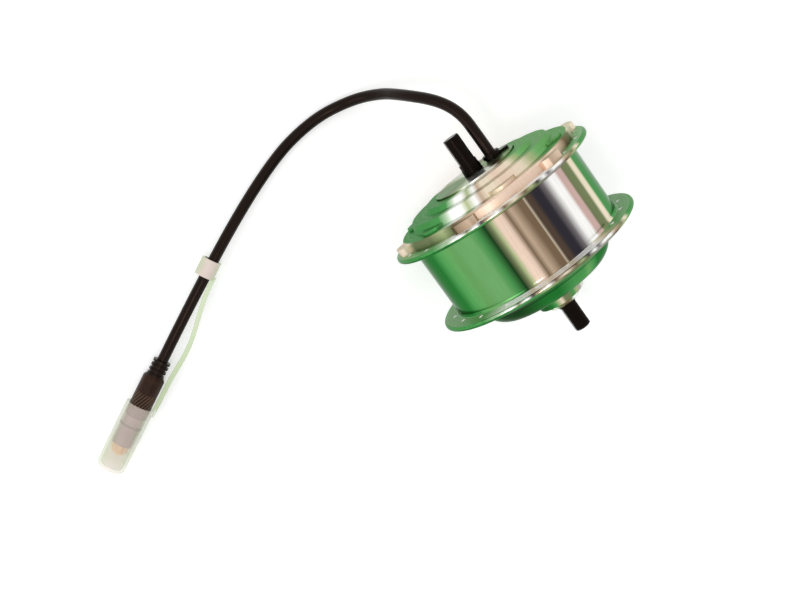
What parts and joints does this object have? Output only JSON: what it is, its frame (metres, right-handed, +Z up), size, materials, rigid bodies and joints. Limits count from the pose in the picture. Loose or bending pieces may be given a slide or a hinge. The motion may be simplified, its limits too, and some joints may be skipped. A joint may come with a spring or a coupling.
{
  "type": "e-bike hub motor",
  "caption": "Geared bicycle hub motor with two spoke flanges, domed far side, screwed side cover, flatted axle ends and a cable with a capped connector.",
  "frame": {"origin": "on the axle, half way between its ends, which is also the middle of the hub", "axes": "+Y along the axle from the cable side to the domed side, +Z up where the motor lies on its two flanges, +X towards the cable's connector"},
  "size_m": [0.3769, 0.2047, 0.14],
  "materials": {
    "shell_aluminium": "polished, with a green cast",
    "bare_aluminium": "bare machined",
    "black_steel": "black satin",
    "bright_steel": "ground",
    "black_rubber": "soft, slightly shiny",
    "black_plastic": "fine knurl",
    "insert_plastic": "greyish pink",
    "cap_plastic": "milky translucent",
    "contact_brass": "bright",
    "copper_wire": "varnished",
    "core_steel": "stacked sheets",
    "magnet_plating": "nickel plated",
    "board_green": "coated board",
    "gear_nylon": "moulded",
    "bush_bronze": "sintered"
  },
  "bodies": {
    "axle_assembly": {"axle": "black_steel", "cable_outlet_disc": "bare_aluminium", "disc_circlip": "black_steel", "cable_gland": "black_plastic", "gland_screw": "black_steel", "motor_cable": "black_rubber", "strain_relief": "black_rubber", "connector_body": "black_plastic", "connector_insert": "insert_plastic", "connector_seal": "black_rubber", "power_pins": "contact_brass", "signal_pins": "contact_brass", "stator_hub": "bare_aluminium", "stator_core": "core_steel", "stator_windings": "copper_wire", "hall_sensor_board": "board_green", "phase_leads": "black_rubber", "planet_pins": "bright_steel", "pin_clips": "black_steel", "planet_carrier": "bright_steel", "clutch_race": "bright_steel", "clutch_rollers": "bright_steel", "thrust_washer": "bush_bronze", "axle_spacer_inner": "bright_steel", "axle_spacer_outer": "bright_steel", "main_bearing_inner_ring": "bright_steel", "far_bearing_inner_ring": "bright_steel", "rotor_bearing_inner_ring": "bright_steel"},
    "hub": {"hub_shell": "shell_aluminium", "side_cover": "shell_aluminium", "ring_gear": "bright_steel", "axle_seal_ring": "bare_aluminium", "main_bearing_outer_ring": "bright_steel", "far_bearing_outer_ring": "bright_steel"},
    "rotor": {"rotor_can": "core_steel", "rotor_magnets": "magnet_plating", "sun_gear": "bright_steel", "sun_bush": "bush_bronze", "rotor_bearing_outer_ring": "bright_steel"},
    "planet_1": {"planet_gear_1": "gear_nylon", "planet_bush_1": "bush_bronze"},
    "planet_2": {"planet_gear_2": "gear_nylon", "planet_bush_2": "bush_bronze"},
    "planet_3": {"planet_gear_3": "gear_nylon", "planet_bush_3": "bush_bronze"},
    "main_bearing_set": {"main_bearing_balls": "bright_steel", "main_bearing_cage": "bush_bronze"},
    "far_bearing_set": {"far_bearing_balls": "bright_steel", "far_bearing_cage": "bush_bronze"},
    "rotor_bearing_set": {"rotor_bearing_balls": "bright_steel", "rotor_bearing_cage": "bush_bronze"},
    "cap": {"connector_cap": "cap_plastic"}
  },
  "joints": [
    {"name": "hub_spin", "type": "hinge", "parent": "axle_assembly", "child": "hub", "pos_m": [0, 0, 0], "axis": [0, 1, 0], "continuous": true},
    {"name": "rotor_spin", "type": "hinge", "parent": "axle_assembly", "child": "rotor", "pos_m": [0, 0, 0], "axis": [0, 1, 0], "continuous": true},
    {"name": "planet_1_spin", "type": "hinge", "parent": "axle_assembly", "child": "planet_1", "pos_m": [0, 0, 0.02925], "axis": [0, 1, 0], "continuous": true},
    {"name": "planet_2_spin", "type": "hinge", "parent": "axle_assembly", "child": "planet_2", "pos_m": [0.02533, 0, -0.01463], "axis": [0, 1, 0], "continuous": true},
    {"name": "planet_3_spin", "type": "hinge", "parent": "axle_assembly", "child": "planet_3", "pos_m": [-0.02533, 0, -0.01463], "axis": [0, 1, 0], "continuous": true},
    {"name": "main_cage_spin", "type": "hinge", "parent": "axle_assembly", "child": "main_bearing_set", "pos_m": [0, 0, 0], "axis": [0, 1, 0], "continuous": true},
    {"name": "far_cage_spin", "type": "hinge", "parent": "axle_assembly", "child": "far_bearing_set", "pos_m": [0, 0, 0], "axis": [0, 1, 0], "continuous": true},
    {"name": "rotor_cage_spin", "type": "hinge", "parent": "axle_assembly", "child": "rotor_bearing_set", "pos_m": [0, 0, 0], "axis": [0, 1, 0], "continuous": true},
    {"name": "cap_slide", "type": "slide", "parent": "axle_assembly", "child": "cap", "axis": [0.8904, 0.4552, 0], "range_m": [0, 0.037]}
  ],
  "couplings": [
    {"joint": "rotor_spin", "follows": "hub_spin", "ratio": -4.2},
    {"joint": "planet_1_spin", "follows": "hub_spin", "ratio": 2.625},
    {"joint": "planet_2_spin", "follows": "hub_spin", "ratio": 2.625},
    {"joint": "planet_3_spin", "follows": "hub_spin", "ratio": 2.625},
    {"joint": "main_cage_spin", "follows": "hub_spin", "ratio": 0.5313},
    {"joint": "far_cage_spin", "follows": "hub_spin", "ratio": 0.619},
    {"joint": "rotor_cage_spin", "follows": "hub_spin", "ratio": -2.4055}
  ]
}
